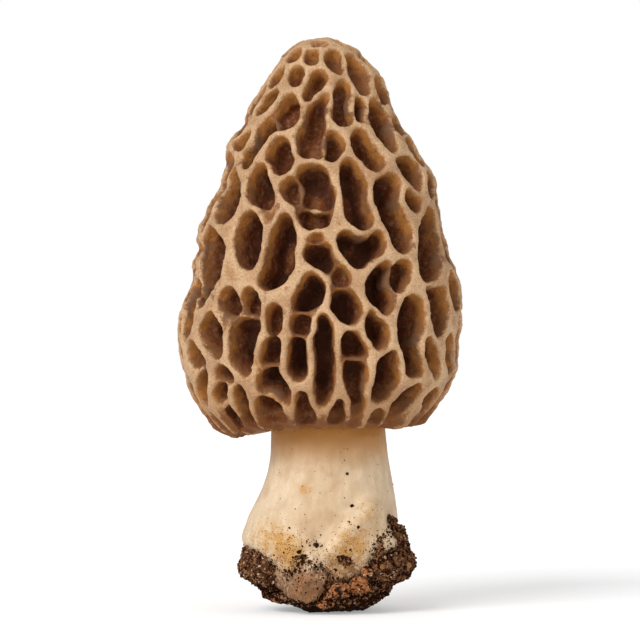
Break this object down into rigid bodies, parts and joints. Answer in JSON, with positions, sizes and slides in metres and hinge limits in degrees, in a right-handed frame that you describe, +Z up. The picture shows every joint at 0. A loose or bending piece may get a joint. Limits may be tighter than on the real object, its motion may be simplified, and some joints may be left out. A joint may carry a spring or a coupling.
{
  "type": "morel mushroom",
  "caption": "Whole picked morel: a tall conical cap netted with ridges and deep pits on a pale stem, with soil, crumbs and bark chips clinging to its foot.",
  "frame": {"origin": "on the flat underside of the soil at the foot, under the middle of the bounding box", "axes": "+Z up the stem to the tip of the cap, the side seen in the picture faces -Y, +X to its right"},
  "size_m": [0.0498, 0.0496, 0.0999],
  "materials": {
    "cap_flesh": "tan waxy flesh, fine-grained ridges, ochre to dark brown pits",
    "stem_flesh": "cream, smooth, finely fibrous",
    "soil": "dark granular soil",
    "bark": "rough orange-brown bark",
    "stone": "dull pinkish chip"
  },
  "bodies": {
    "root": {"cap": "cap_flesh", "stem": "stem_flesh", "soil_base": "soil", "soil_left": "soil", "soil_right": "soil", "soil_back": "soil", "crumb_front": "soil", "crumb_left": "soil", "crumb_high": "soil", "crumb_right": "soil", "bark_middle": "bark", "bark_right": "bark", "bark_low": "bark", "stone_chip": "stone"}
  },
  "joints": []
}
